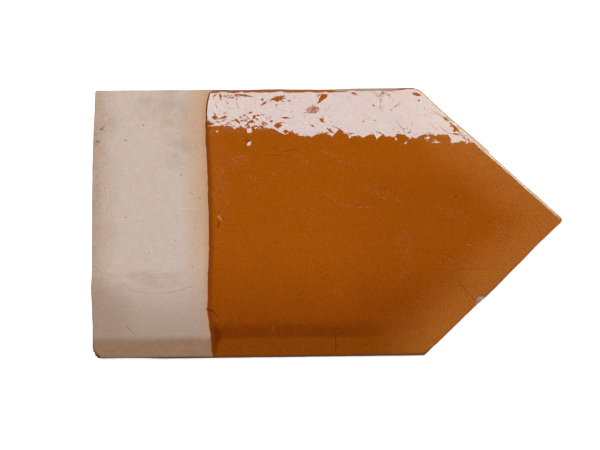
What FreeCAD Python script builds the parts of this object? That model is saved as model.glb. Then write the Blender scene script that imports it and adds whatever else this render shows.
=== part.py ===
import FreeCAD, Part
import math
import os
import Sketcher
from FreeCAD import Vector

# A fish scale roof tile of fired clay, lying flat with its glazed face up.
# The plan is a plate with two long sides, a pointed tail and a slightly bowed back edge.
# The back strip is bare clay, which the next course of tiles covers.
# From the glaze line to the point the face carries a glaze that stands a little proud of the clay.
# X runs from the back edge to the point, Y across the tile and Z up from the underside.

os.makedirs("parts", exist_ok=True)
doc = FreeCAD.newDocument("fish_scale_tile")

# The driving sizes, in millimetres.
sheet = doc.addObject("Spreadsheet::Sheet", "sizes")
SIZES = {
    "width": 140.0,
    "side_length": 170.0,
    "point_length": 74.6,
    "point_shift": 0.8,
    "back_bow": 1.1,
    "clay_thickness": 4.6,
    "glaze_thickness": 0.4,
    "glaze_start": 60.5,
    "bead_round": 0.3,
    "shoulder_round": 8.0,
    "corner_round": 1.5,
    "tip_round": 2.5,
    "top_arris": 0.9,
    "underside_arris": 0.5,
    "fall_width": 10.5,
    "fall_drop": 0.9,
    "chip_along_side": 3.4,
    "chip_along_back": 3.8,
    "cutter_overrun": 5.0,
}
for row, (alias, value) in enumerate(SIZES.items(), start=1):
    sheet.set(f"A{row}", alias.replace("_", " "))
    sheet.set(f"B{row}", str(value))
    sheet.setAlias(f"B{row}", alias)
doc.recompute()

# Places on a sketch element, and the sketch's own origin and axes.
START, END, CENTRE = range(1, 4)
X_AXIS, Y_AXIS = range(-1, -3, -1)
ORIGIN = (X_AXIS, START)

# Two points nearer than this are one point.
NEAR = 0.01

# Expressions that more than one feature uses.
HALF_WIDTH = "sizes.width / 2"
BOW_RADIUS = "((sizes.width / 2) ^ 2 + sizes.back_bow ^ 2) / (2 * sizes.back_bow)"
TIP_X = "sizes.side_length + sizes.point_length"
FULL_THICKNESS = "sizes.clay_thickness + sizes.glaze_thickness"


def value_of(expression):
    """The number that an expression on the sheet's sizes gives."""
    return float(sheet.evalExpression(expression.replace("sizes.", "")))


def new_sketch(body, name, role):
    """An empty sketch on one of the body's own origin planes."""
    sketch = body.newObject("Sketcher::SketchObject", name)
    plane = next(item for item in body.Origin.OriginFeatures if item.Role == role)
    sketch.AttachmentSupport = (plane, [""])
    sketch.MapMode = "FlatFace"
    return sketch


def dimension(sketch, kind, places, name, expression):
    """Adds a named dimension and ties it to the sheet."""
    index = sketch.addConstraint(Sketcher.Constraint(kind, *places, value_of(expression)))
    sketch.renameConstraint(index, name)
    sketch.setExpression(f"Constraints.{name}", expression)


def closed_loop(sketch, points):
    """Straight lines from each point to the next, joined end to end."""
    count = len(points)
    for index, point in enumerate(points):
        sketch.addGeometry(Part.LineSegment(point, points[(index + 1) % count]), False)
    for index in range(count):
        sketch.addConstraint(Sketcher.Constraint("Coincident", index, END, (index + 1) % count, START))


def draw_plan(body):
    """The outline seen from above: two sides, two slopes to the point, bowed back, chipped corner."""
    sketch = new_sketch(body, "plan", "XY_Plane")
    half = value_of(HALF_WIDTH)
    radius = value_of(BOW_RADIUS)
    centre_x = radius - value_of("sizes.back_bow")
    chip_side = Vector(value_of("sizes.chip_along_side"), -half, 0)
    shoulder_low = Vector(value_of("sizes.side_length"), -half, 0)
    tip = Vector(value_of(TIP_X), -value_of("sizes.point_shift"), 0)
    shoulder_high = Vector(value_of("sizes.side_length"), half, 0)
    corner_high = Vector(0, half, 0)
    chip_y = value_of("sizes.chip_along_back") - half
    chip_back = Vector(centre_x - math.sqrt(radius ** 2 - chip_y ** 2), chip_y, 0)
    arc_from = math.atan2(half, -centre_x)
    arc_to = math.atan2(chip_y, chip_back.x - centre_x) + 2 * math.pi
    circle = Part.Circle(Vector(centre_x, 0, 0), Vector(0, 0, 1), radius)

    side_low = sketch.addGeometry(Part.LineSegment(chip_side, shoulder_low), False)
    slope_low = sketch.addGeometry(Part.LineSegment(shoulder_low, tip), False)
    slope_high = sketch.addGeometry(Part.LineSegment(tip, shoulder_high), False)
    side_high = sketch.addGeometry(Part.LineSegment(shoulder_high, corner_high), False)
    back = sketch.addGeometry(Part.ArcOfCircle(circle, arc_from, arc_to), False)
    chip = sketch.addGeometry(Part.LineSegment(chip_back, chip_side), False)

    for first, second in [
        ((side_low, END), (slope_low, START)),
        ((slope_low, END), (slope_high, START)),
        ((slope_high, END), (side_high, START)),
        ((side_high, END), (back, START)),
        ((back, END), (chip, START)),
        ((chip, END), (side_low, START)),
    ]:
        sketch.addConstraint(Sketcher.Constraint("Coincident", *first, *second))
    sketch.addConstraint(Sketcher.Constraint("Horizontal", side_low))
    sketch.addConstraint(Sketcher.Constraint("Horizontal", side_high))
    sketch.addConstraint(Sketcher.Constraint("PointOnObject", side_high, END, Y_AXIS))
    sketch.addConstraint(Sketcher.Constraint("PointOnObject", back, CENTRE, X_AXIS))
    dimension(sketch, "DistanceY", (*ORIGIN, side_high, START), "half_width_high", HALF_WIDTH)
    dimension(sketch, "DistanceY", (side_low, START, *ORIGIN), "half_width_low", HALF_WIDTH)
    dimension(sketch, "DistanceX", (*ORIGIN, side_low, END), "side_low", "sizes.side_length")
    dimension(sketch, "DistanceX", (*ORIGIN, side_high, START), "side_high", "sizes.side_length")
    dimension(sketch, "DistanceX", (*ORIGIN, slope_low, END), "tip_x", TIP_X)
    dimension(sketch, "DistanceY", (slope_low, END, *ORIGIN), "tip_shift", "sizes.point_shift")
    dimension(sketch, "Radius", (back,), "bow_radius", BOW_RADIUS)
    dimension(sketch, "DistanceX", (*ORIGIN, side_low, START), "chip_side", "sizes.chip_along_side")
    dimension(sketch, "DistanceY", (side_low, START, back, END), "chip_back", "sizes.chip_along_back")
    return sketch


def upright_edge(shape, x, y):
    """The name of the upright edge over a corner of the plan."""
    for index, edge in enumerate(shape.Edges, start=1):
        ends = [vertex.Point for vertex in edge.Vertexes]
        if all(math.hypot(end.x - x, end.y - y) < NEAR for end in ends):
            return f"Edge{index}"
    raise RuntimeError(f"no upright edge at {x}, {y}")


def rim_edges(shape, way):
    """The names of the edges between the sides and the face that looks up (1) or down (-1)."""
    names = []
    level, upright = 0.9, 0.1
    for index, edge in enumerate(shape.Edges, start=1):
        middle = edge.valueAt((edge.FirstParameter + edge.LastParameter) / 2)
        tilts = []
        for face in shape.ancestorsOfType(edge, Part.Face):
            tilts.append(face.normalAt(*face.Surface.parameter(middle)).z)
        if max(way * tilt for tilt in tilts) > level and min(abs(tilt) for tilt in tilts) < upright:
            names.append(f"Edge{index}")
    return names


def line_edges(shape, x, lowest):
    """The names of the edges that lie across the tile at x, above the lowest height."""
    names = []
    for index, edge in enumerate(shape.Edges, start=1):
        ends = [vertex.Point for vertex in edge.Vertexes]
        if all(abs(end.x - x) < NEAR and end.z > lowest for end in ends):
            names.append(f"Edge{index}")
    return names


def round_edges(body, name, edges, radius):
    """Rounds the named edges of the body's last feature."""
    last = body.Tip
    fillet = body.newObject("PartDesign::Fillet", name)
    fillet.Base = (last, edges)
    fillet.setExpression("Radius", radius)
    body.Tip = fillet
    doc.recompute()
    print(f"{body.Label} {name}: {len(edges)} edges, {fillet.State}, {body.Shape.Volume:.1f} mm3")


def cut_through(body, name, sketch):
    """Cuts a sketch both ways through the body and makes sure that something came off."""
    before = body.Shape.Volume
    pocket = body.newObject("PartDesign::Pocket", name)
    pocket.Profile = sketch
    pocket.Type = "ThroughAll"
    pocket.SideType = "Symmetric"
    body.Tip = pocket
    doc.recompute()
    removed = before - body.Shape.Volume
    if removed <= 0:
        raise RuntimeError(f"{name} cuts nothing")
    print(f"{body.Label} {name}: {removed:.1f} mm3 off")


def cut_fall(body, thickness):
    """Lets the face fall away to the long side at negative Y, with a wedge cut above that slope."""
    sketch = new_sketch(body, "fall_profile", "YZ_Plane")
    out = f"({HALF_WIDTH} + sizes.cutter_overrun)"
    depth = "sizes.fall_drop * (sizes.fall_width + sizes.cutter_overrun) / sizes.fall_width"
    crease_y = value_of("sizes.fall_width") - value_of(HALF_WIDTH)
    crease_z = value_of(thickness)
    above = crease_z + value_of("sizes.cutter_overrun")
    slope, outside, lid, inside = range(4)
    closed_loop(sketch, [
        Vector(crease_y, crease_z, 0),
        Vector(-value_of(out), crease_z - value_of(depth), 0),
        Vector(-value_of(out), above, 0),
        Vector(crease_y, above, 0),
    ])
    sketch.addConstraint(Sketcher.Constraint("Vertical", outside))
    sketch.addConstraint(Sketcher.Constraint("Horizontal", lid))
    sketch.addConstraint(Sketcher.Constraint("Vertical", inside))
    dimension(sketch, "DistanceX", (slope, START, *ORIGIN), "crease", f"{HALF_WIDTH} - sizes.fall_width")
    dimension(sketch, "DistanceY", (*ORIGIN, slope, START), "crease_height", thickness)
    dimension(sketch, "DistanceX", (slope, END, *ORIGIN), "outside", out)
    dimension(sketch, "DistanceY", (slope, END, slope, START), "depth", depth)
    dimension(sketch, "DistanceY", (slope, START, lid, END), "headroom", "sizes.cutter_overrun")
    doc.recompute()
    cut_through(body, "fall", sketch)


def cut_bare_strip(body):
    """Takes the part of the plate behind the glaze line away."""
    sketch = new_sketch(body, "strip_plan", "XY_Plane")
    out = f"({HALF_WIDTH} + sizes.cutter_overrun)"
    behind = "(sizes.back_bow + sizes.cutter_overrun)"
    line_x = value_of("sizes.glaze_start")
    high_side, back, low_side, glaze_line = range(4)
    closed_loop(sketch, [
        Vector(line_x, value_of(out), 0),
        Vector(-value_of(behind), value_of(out), 0),
        Vector(-value_of(behind), -value_of(out), 0),
        Vector(line_x, -value_of(out), 0),
    ])
    sketch.addConstraint(Sketcher.Constraint("Horizontal", high_side))
    sketch.addConstraint(Sketcher.Constraint("Vertical", back))
    sketch.addConstraint(Sketcher.Constraint("Horizontal", low_side))
    sketch.addConstraint(Sketcher.Constraint("Vertical", glaze_line))
    dimension(sketch, "DistanceX", (*ORIGIN, glaze_line, END), "glaze_line", "sizes.glaze_start")
    dimension(sketch, "DistanceX", (back, START, *ORIGIN), "behind", behind)
    dimension(sketch, "DistanceY", (*ORIGIN, high_side, START), "above", out)
    dimension(sketch, "DistanceY", (low_side, END, *ORIGIN), "below", out)
    doc.recompute()
    cut_through(body, "bare_strip", sketch)


def make_plate(label, thickness):
    """A plate of the tile's plan: corners rounded, one long side falling away, arrises eased."""
    body = doc.addObject("PartDesign::Body", label)
    plan = draw_plan(body)
    pad = body.newObject("PartDesign::Pad", "plate")
    pad.Profile = plan
    pad.setExpression("Length", thickness)
    doc.recompute()

    half = value_of(HALF_WIDTH)
    side = value_of("sizes.side_length")
    point = (value_of(TIP_X), -value_of("sizes.point_shift"))
    corners = [upright_edge(body.Shape, 0, half), upright_edge(body.Shape, side, -half)]
    round_edges(body, "corners", corners, "sizes.corner_round")
    round_edges(body, "shoulder", [upright_edge(body.Shape, side, half)], "sizes.shoulder_round")
    round_edges(body, "point", [upright_edge(body.Shape, *point)], "sizes.tip_round")
    cut_fall(body, thickness)
    round_edges(body, "face_arris", rim_edges(body.Shape, 1), "sizes.top_arris")
    round_edges(body, "underside_arris", rim_edges(body.Shape, -1), "sizes.underside_arris")
    return body


# The clay over the whole plan, as thick as the bare strip.
clay = make_plate("clay", "sizes.clay_thickness")

# The same plate with its glaze on, from the glaze line to the point.
# Along that line the glaze drew up into a round bead.
glazed = make_plate("glazed_face", FULL_THICKNESS)
cut_bare_strip(glazed)
rim_foot = value_of("sizes.clay_thickness - sizes.fall_drop - sizes.top_arris")
bead = line_edges(glazed.Shape, value_of("sizes.glaze_start"), rim_foot)
round_edges(glazed, "bead", bead, "sizes.bead_round")

# Clay and glaze were fired together, so they are one solid.
tile = doc.addObject("Part::MultiFuse", "tile")
tile.Label = "fish_scale_tile"
tile.Shapes = [clay, glazed]
tile.Refine = True

# The origin is under the middle of the tile's box. Rounding takes this much off the point.
TIP_LOSS = "sizes.tip_round * (hypot(sizes.width / 2; sizes.point_length) / (sizes.width / 2) - 1)"
tile.setExpression("Placement.Base.x", f"-({TIP_X} - {TIP_LOSS} - sizes.back_bow) / 2")
doc.recompute()

for item in doc.Objects:
    for fault in ("Invalid", "Error"):
        if fault in item.State:
            raise RuntimeError(f"{item.Label} is {fault}")
for item in (clay, glazed, tile):
    if item.Shape.isNull() or not item.Shape.isValid():
        raise RuntimeError(f"{item.Label} has no valid shape")
if len(tile.Shape.Solids) != 1:
    raise RuntimeError("the tile is not one solid")

box = tile.Shape.optimalBoundingBox(True, False)
print(f"{tile.Label}: {box.XLength:.2f} x {box.YLength:.2f} x {box.ZLength:.2f} mm")
print(f"X {box.XMin:.3f} to {box.XMax:.3f}, Y {box.YMin:.3f} to {box.YMax:.3f}")
print(f"volume {tile.Shape.Volume:.0f} mm3, {len(tile.Shape.Faces)} faces")
tile.Shape.exportStep(f"parts/{tile.Label}.step")
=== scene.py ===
# %% [markdown]
# A fish scale roof tile: a flat plate of fired clay with a pointed tail. Its face is glazed amber brown
# from the middle down to the point, and the strip that the next course covers is bare clay.
# This lesson dresses the plain solid of the tile. The solid gives the frame: every size and place below
# is in the same metres, so what is modelled here lies where the real clay lies.

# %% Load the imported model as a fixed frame
import math
import bmesh
import bpy
from mathutils import Matrix, Vector, noise


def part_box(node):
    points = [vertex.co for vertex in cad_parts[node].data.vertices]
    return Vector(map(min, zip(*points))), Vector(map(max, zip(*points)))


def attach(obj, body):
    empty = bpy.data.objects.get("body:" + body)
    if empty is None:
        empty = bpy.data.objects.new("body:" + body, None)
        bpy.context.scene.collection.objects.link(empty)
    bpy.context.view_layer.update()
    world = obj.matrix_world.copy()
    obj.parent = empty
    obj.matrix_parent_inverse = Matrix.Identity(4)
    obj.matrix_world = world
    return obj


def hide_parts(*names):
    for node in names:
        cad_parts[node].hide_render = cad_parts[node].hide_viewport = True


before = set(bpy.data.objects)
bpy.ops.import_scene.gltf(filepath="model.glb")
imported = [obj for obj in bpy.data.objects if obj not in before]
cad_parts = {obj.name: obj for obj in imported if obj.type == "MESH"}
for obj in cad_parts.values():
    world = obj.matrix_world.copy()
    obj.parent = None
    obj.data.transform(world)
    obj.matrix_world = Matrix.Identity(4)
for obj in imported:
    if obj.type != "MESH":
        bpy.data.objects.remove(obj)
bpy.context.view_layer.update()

# %% [markdown]
# First the sizes. The solid's own box gives the width, the thickness and the place of the back edge.
# The others are the tile's driving sizes, written here once in millimetres. Positions on the tile are
# told the way a tiler would measure them: along the tile from the line through its back corners, and
# across it from the middle, so a helper turns such a pair into a place in the frame. Single marks were
# measured from the middle of the wavy back edge instead, which lies half a millimetre further back.

# %% Sizes of the tile
MM = 0.001
NODE = "fish_scale_tile"
box_low, box_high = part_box(NODE)

BACK_BOW = 1.1
SIDE_LENGTH = 170.0
POINT_SHIFT = 0.8
HALF_WIDTH = box_high.y / MM
THICKNESS = (box_high.z - box_low.z) / MM
BACK_LINE = box_low.x / MM + BACK_BOW
MARK_LINE = BACK_LINE - 0.5
TIP_ALONG = 244.6

CLAY_TOP = 4.6
GLAZE_TOP = 4.94
GLAZE_LINE = 60.2
GLAZE_RIM = 2.6
CLAY_GAP = 0.03
CREASE = -59.5
FALL_DROP = 0.9
TOP_ARRIS = 0.6
UNDERSIDE_ARRIS = 0.5

print(f"tile {(box_high.x - box_low.x) / MM:.1f} x {2 * HALF_WIDTH:.1f} x {THICKNESS:.2f} mm")


def place(along, across, height=0.0):
    """A place on the tile, in the frame's metres."""
    return Vector(((along + BACK_LINE) * MM, across * MM, height * MM))


def tile_place(point):
    """The same the other way round: along, across and height in millimetres."""
    return point.x / MM - BACK_LINE, point.y / MM, point.z / MM


def ease(value, start, end):
    """0 before start and 1 after end, with an easy run between."""
    part = min(max((value - start) / (end - start), 0.0), 1.0)
    return part * part * (3.0 - 2.0 * part)


# %% [markdown]
# The camera stands where the photographer's stood: almost straight above the tile, a little towards the
# near side, looking down and slightly away. A long lens keeps the far and near edges almost equal.
# Its aim and its upward direction are two measured vectors, and a matrix of three columns turns the
# camera to them, which avoids guessing at angles.

# %% Camera
CAMERA_PLACE = place(97.8, -65.5, THICKNESS + 547.3)
CAMERA_AIM = Vector((0.016668, 0.114849, -0.993243)).normalized()
CAMERA_UP = Vector((0.010412, 0.993307, 0.115032)).normalized()
LENS = 63.9

camera_data = bpy.data.cameras.new("camera")
camera_data.lens = LENS
camera_data.sensor_width = 36.0
camera_data.clip_start = 0.01
camera = bpy.data.objects.new("camera", camera_data)
bpy.context.scene.collection.objects.link(camera)
columns = Matrix((CAMERA_AIM.cross(CAMERA_UP), CAMERA_UP, -CAMERA_AIM)).transposed()
camera.matrix_world = Matrix.LocRotScale(CAMERA_PLACE, columns.to_quaternion(), None)
bpy.context.scene.camera = camera
print("camera at", [round(value, 3) for value in camera.location])

# %% [markdown]
# A glossy glaze is a mirror, so its look is mostly what stands around it. Overhead the studio is dark,
# which keeps the amber deep, and one long softbox stands past the far edge: its reflection is the pale
# band along that edge of the tile. The even light on the clay comes from a second, broad lamp, which the
# glaze doesn't mirror, and the softbox itself adds nothing to it, so the two can be set apart.


# %% Lamps
def lamp(name, centre, size, strength, turn=0.0, mirrored=True):
    """A flat lamp that looks straight down. Its strength is what a white surface sees of it."""
    data = bpy.data.lights.new(name, "AREA")
    data.shape = "RECTANGLE"
    data.size, data.size_y = size
    data.energy = strength * math.pi * size[0] * size[1]
    light = bpy.data.objects.new(name, data)
    bpy.context.scene.collection.objects.link(light)
    light.location = centre
    light.rotation_euler.z = math.radians(turn)
    light.visible_glossy = mirrored
    light.visible_diffuse = not mirrored
    light.visible_camera = False
    return light


SOFTBOX_PLACE = place(290.0, 211.9, 555.0)
SOFTBOX_SIZE = (0.70, 0.12)
SOFTBOX_TURN = -4.1
KEY_PLACE = (0.0, 0.22, 1.0)
KEY_SIZE = (0.7, 0.7)

lamp("softbox", SOFTBOX_PLACE, SOFTBOX_SIZE, strength=13.4, turn=SOFTBOX_TURN)
lamp("key", KEY_PLACE, KEY_SIZE, strength=6.8, mirrored=False)


# %% [markdown]
# A shader is a graph of nodes, and most of them only add and multiply. So a small class wraps a socket
# and gives it Python's own signs: mask * 0.5 then makes a Math node. A second class holds a material and
# makes any other node in one call, with its settings, then its inputs. Both work for the world as well.

# %% Helpers for node graphs
class Amount:
    """One value in a graph."""

    def __init__(self, graph, socket):
        self.graph = graph
        self.socket = socket

    def math(self, kind, *others):
        values = dict(enumerate((self, *others)))
        return self.graph.node("ShaderNodeMath", {"operation": kind}, values)

    def __add__(self, other):
        return self.math("ADD", other)

    def __sub__(self, other):
        return self.math("SUBTRACT", other)

    def __rsub__(self, other):
        return self.math("MULTIPLY", -1.0).math("ADD", other)

    def __mul__(self, other):
        return self.math("MULTIPLY", other)

    __radd__ = __add__
    __rmul__ = __mul__

    def between(self, start, end, low=0.0, high=1.0):
        """An easy run from low to high while the value goes from start to end."""
        settings = {"interpolation_type": "SMOOTHSTEP", "clamp": False}
        return self.graph.node("ShaderNodeMapRange", settings, {0: self, 1: start, 2: end, 3: low, 4: high})


class Graph:
    """The nodes of one material or of the world."""

    def __init__(self, owner):
        owner.use_nodes = True
        self.tree = owner.node_tree

    def node(self, kind, settings=None, inputs=None, output=0):
        made = self.tree.nodes.new(kind)
        for key, value in (settings or {}).items():
            if key == "points":
                self.bend(made.mapping, value)
            else:
                setattr(made, key, value)
        for key, value in (inputs or {}).items():
            self.feed(made.inputs[key], value)
        return Amount(self, made.outputs[output])

    def bend(self, mapping, points):
        """Gives a curve node its points, joined by straight runs."""
        curve = mapping.curves[0]
        curve.points[0].location = points[0]
        curve.points[1].location = points[-1]
        for point in points[1:-1]:
            curve.points.new(*point)
        for point in curve.points:
            point.handle_type = "VECTOR"
        mapping.update()

    def feed(self, socket, value):
        if isinstance(value, Amount):
            self.tree.links.new(value.socket, socket)
        else:
            socket.default_value = value

    def blend(self, share, first, second):
        """The first colour where the share is 0 and the second where it is 1."""
        return self.node("ShaderNodeMix", {"data_type": "RGBA"}, {0: share, 6: first, 7: second}, output=2)

    def vector(self, kind, *values, output=0):
        return self.node("ShaderNodeVectorMath", {"operation": kind}, dict(enumerate(values)), output)

    def scaled(self, value, factor):
        return self.node("ShaderNodeVectorMath", {"operation": "SCALE"}, {0: value, "Scale": factor})

    def axis(self, value, name):
        return self.node("ShaderNodeSeparateXYZ", None, {0: value}, output="XYZ".index(name))


def srgb(red, green, blue):
    """A colour as it is read off a screen, 0 to 255, turned into the linear one that shaders use."""
    shares = [value / 255.0 for value in (red, green, blue)]
    return (*[s / 12.92 if s <= 0.04045 else ((s + 0.055) / 1.055) ** 2.4 for s in shares], 1.0)


# %% [markdown]
# The room: dark overhead and pale near the horizon, as a studio with a white backdrop is. The camera sees
# plain white. Mirrored rays see the room run to white at the horizon itself, and rays that only carry soft
# light see it pale grey there, so that the tile's sides are lit too.

# %% World
world = bpy.data.worlds.new("room")
bpy.context.scene.world = world
room = Graph(world)
ray = room.tree.nodes.new("ShaderNodeLightPath")
seen = Amount(room, ray.outputs["Is Camera Ray"])
mirrored = Amount(room, ray.outputs["Is Glossy Ray"])
through = Amount(room, ray.outputs["Is Transmission Ray"])
direction = room.node("ShaderNodeTexCoord", None, None, output=0)
up = room.axis(direction, "Z")
PALE = (0.9, 0.9, 0.9, 1.0)
DIM = (0.02, 0.02, 0.02, 1.0)
WHITE = (1.0, 1.0, 1.0, 1.0)
around = room.blend(up.between(0.06, 0.55), PALE, DIM)
backdrop = room.blend(up.between(0.0, 0.12), WHITE, around)
colour = room.blend(seen + through, room.blend(mirrored, around, backdrop), WHITE)
room.feed(room.tree.nodes["Background"].inputs["Color"], colour)
print("world nodes:", len(room.tree.nodes))

# %% [markdown]
# The floor is a wide plain sheet. It is pale by itself and glows a little for the camera and for mirrored
# rays only, which makes it white in the picture without throwing more light on the tile, and it still
# takes the tile's shadow.

# %% Floor
FLOOR_HALF = 3.0
FLOOR_GAP = 0.05 * MM
floor_mesh = bmesh.new()
bmesh.ops.create_grid(floor_mesh, x_segments=1, y_segments=1, size=FLOOR_HALF)
bmesh.ops.translate(floor_mesh, verts=floor_mesh.verts, vec=(0.0, 0.0, box_low.z - FLOOR_GAP))
floor_data = bpy.data.meshes.new("floor")
floor_mesh.to_mesh(floor_data)
floor_mesh.free()
floor = bpy.data.objects.new("floor", floor_data)
bpy.context.scene.collection.objects.link(floor)

paper = bpy.data.materials.new("white_floor")
sheet = Graph(paper)
ray = sheet.tree.nodes.new("ShaderNodeLightPath")
shown = Amount(sheet, ray.outputs["Is Camera Ray"])
shown = shown + Amount(sheet, ray.outputs["Is Glossy Ray"])
shown = shown + Amount(sheet, ray.outputs["Is Transmission Ray"])
surface = sheet.tree.nodes["Principled BSDF"]
surface.inputs["Base Color"].default_value = (0.8, 0.8, 0.8, 1.0)
surface.inputs["Roughness"].default_value = 0.9
surface.inputs["Specular IOR Level"].default_value = 0.0
surface.inputs["Emission Strength"].default_value = 0.6
glow = sheet.blend(shown, (0.0, 0.0, 0.0, 1.0), WHITE)
sheet.feed(surface.inputs["Emission Color"], glow)
floor_data.materials.append(paper)

# %% [markdown]
# Now the clay. A tile like this is rolled or pressed flat and cut with a knife, so it is modelled the same
# way: one flat outline, thickened, with its arrises worn round. The outline is a single face from its
# five corners. Insetting that face draws it in evenly, and bevelling one corner at a time rounds each by
# its own radius, because on the real tile no two corners are alike.

# %% Outline of the tile
CORNERS = [
    # along, across, radius
    (0.0, -HALF_WIDTH, 1.0),
    (SIDE_LENGTH, -HALF_WIDTH, 1.5),
    (TIP_ALONG, -POINT_SHIFT, 2.56),
    (SIDE_LENGTH, HALF_WIDTH, 9.5),
    (0.0, HALF_WIDTH, 1.2),
]
POINTS = [Vector(corner[:2]) for corner in CORNERS]


def side_lines(points):
    """For each side of the outline, one of its ends and the direction that points inwards."""
    lines = []
    for start, end in zip(points, points[1:] + points[:1]):
        run = (end - start).normalized()
        lines.append((start, Vector((-run.y, run.x))))
    return lines


SIDES = side_lines(POINTS)
BACK_SIDE = 4


def from_edge(along, across, skip_back=False):
    """How far inside the nearest side of the outline a point lies, and that side's inward direction."""
    point = Vector((along, across))
    sides = SIDES[:BACK_SIDE] if skip_back else SIDES
    return min(((point - start).dot(inward), tuple(inward)) for start, inward in sides)


def draw_outline(bm, corners, gap):
    """One flat face, drawn in by a gap, with each corner rounded by its radius."""
    verts = [bm.verts.new(place(along, across)) for along, across, _ in corners]
    face = bm.faces.new(verts)
    if gap:
        ring = bmesh.ops.inset_region(bm, faces=[face], thickness=gap * MM)["faces"]
        bmesh.ops.delete(bm, geom=ring, context="FACES")
    for along, across, radius in corners:
        if not radius:
            continue
        target = place(along, across)
        vert = min(bm.verts, key=lambda v: (v.co - target).length)
        arms = [edge.other_vert(vert).co - vert.co for edge in vert.link_edges]
        reach = radius / math.tan(arms[0].angle(arms[1]) / 2.0)
        bmesh.ops.bevel(bm, geom=[vert], offset=reach * MM, offset_type="OFFSET", segments=6,
                        profile=0.5, affect="VERTICES", material=-1)
    return bm.faces[:]


def thicken(bm, bottom, top):
    """Pulls the flat outline up into a closed plate."""
    bmesh.ops.translate(bm, verts=bm.verts, vec=(0.0, 0.0, bottom * MM))
    made = bmesh.ops.extrude_face_region(bm, geom=bm.faces[:], use_keep_orig=True)["geom"]
    raised = [item for item in made if isinstance(item, bmesh.types.BMVert)]
    bmesh.ops.translate(bm, verts=raised, vec=(0.0, 0.0, (top - bottom) * MM))
    bmesh.ops.recalc_face_normals(bm, faces=bm.faces)


def round_rim(bm, height, radius, segments):
    """Rounds the edges all the way round the plate at one height."""
    rim = [edge for edge in bm.edges
           if all(abs(v.co.z / MM - height) < 0.01 for v in edge.verts)
           and any(abs(face.normal.z) < 0.5 for face in edge.link_faces)]
    bmesh.ops.bevel(bm, geom=rim, offset=radius * MM, offset_type="OFFSET", segments=segments,
                    profile=0.5, affect="EDGES", material=-1)
    return len(rim)


def slice_up(bm, step, extra_along=(), extra_across=()):
    """Cuts every face on a square grid of planes, so that the surface can be shaped finely."""
    for axis, extra, shift in (((1, 0, 0), extra_along, BACK_LINE), ((0, 1, 0), extra_across, 0.0)):
        axis = Vector(axis)
        reach = [axis.dot(v.co) / MM for v in bm.verts]
        count = int((max(reach) - min(reach)) / step)
        cuts = [min(reach) + step * (number + 0.5) for number in range(count)]
        cuts += [value + shift for value in extra]
        for cut in cuts:
            geometry = bm.verts[:] + bm.edges[:] + bm.faces[:]
            bmesh.ops.bisect_plane(bm, geom=geometry, dist=1e-7, plane_co=axis * cut * MM, plane_no=axis)


# %% [markdown]
# The surface of handmade clay is never quite level. Along one side it falls away past a soft crease, so
# every point beyond the crease is lowered by its share. The slow swells come from a smooth noise.

# %% Shape of the surface
CREASE_SOFT = 1.6


def fall(across):
    """How far the face has dropped at a place across the tile, in millimetres."""
    past = CREASE - across
    full = CREASE + HALF_WIDTH
    if past <= -CREASE_SOFT:
        return 0.0
    if past < CREASE_SOFT:
        return FALL_DROP / full * (past + CREASE_SOFT) ** 2 / (4.0 * CREASE_SOFT)
    return FALL_DROP / full * past


def swell(along, across, size, seed=0.0):
    """A smooth rise and fall of the surface between about -0.5 and 0.5, with hills of the given size."""
    return noise.noise(Vector((along / size, across / size, seed)))


def along_points(points, value):
    """The second number of a row of points, read between them at a value of the first, which falls."""
    for (high, first), (low, second) in zip(points, points[1:]):
        if value >= low:
            break
    share = min(max((high - value) / (high - low), 0.0), 1.0)
    return first + (second - first) * share


# across, and how far along the tile the glaze line runs there
LINE_PLACES = [
    (70.5, 62.2), (68.8, 61.2), (67.2, 60.2), (62.9, 59.2), (58.6, 58.8), (50.1, 58.6), (41.6, 58.6),
    (37.4, 59.0), (28.9, 59.4), (20.5, 59.7), (12.1, 59.8), (-0.4, 60.2), (-17.0, 60.2), (-21.1, 60.0),
    (-29.4, 59.6), (-41.7, 59.5), (-45.0, 59.2), (-47.0, 59.4), (-49.9, 59.9), (-53.9, 60.3), (-58.0, 60.9),
    (-62.1, 61.1), (-66.1, 61.4), (-70.5, 62.4),
]


def line_place(across):
    """How far along the tile the glaze line runs, with the small raggedness of a dipped edge."""
    ragged = 0.25 * swell(0.0, across, 3.1) + 0.08 * swell(5.0, across, 1.1)
    return along_points(LINE_PLACES, across) + ragged + MARK_LINE - BACK_LINE


# %% [markdown]
# The tile was cut by hand, so none of its edges is straight. The back edge and the straight far side stray
# inwards by a few tenths of a millimetre, and each is a short row of measured places. The far side's edge
# is also rolled over where the glaze laps it, apart from one stretch that the glaze left bare. The two
# slanted edges swell out past the outline and fall back behind it, and the far one has a sudden step.

# %% Hand-cut edges
# across, and how far the back edge strays inwards there
BACK_WAVE = [
    (70.0, 0.5), (55.0, 0.45), (40.0, 0.3), (20.0, 0.35), (0.0, 0.6), (-25.0, 0.6), (-29.0, 0.45),
    (-33.0, 0.1), (-37.0, 0.15), (-43.0, 0.5), (-53.0, 0.85), (-60.0, 0.65), (-70.0, 0.55),
]
# along, and how far the straight far side strays inwards there
FAR_WAVE = [
    (135.0, 0.0), (128.0, 0.3), (118.0, 0.4), (104.0, 0.2), (96.0, 0.0), (88.0, 0.0), (79.0, 0.25),
    (60.0, 0.0),
]
# the far side: how wide and deep the glazed edge rolls over, where that ends, and the bare stretch
ROLL_WIDTH = 2.4
ROLL_DROP = 0.34
ROLL_END = (165.0, 158.0)
BARE_RUN = (126.5, 158.1)
BARE_FADE = 2.0
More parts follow.
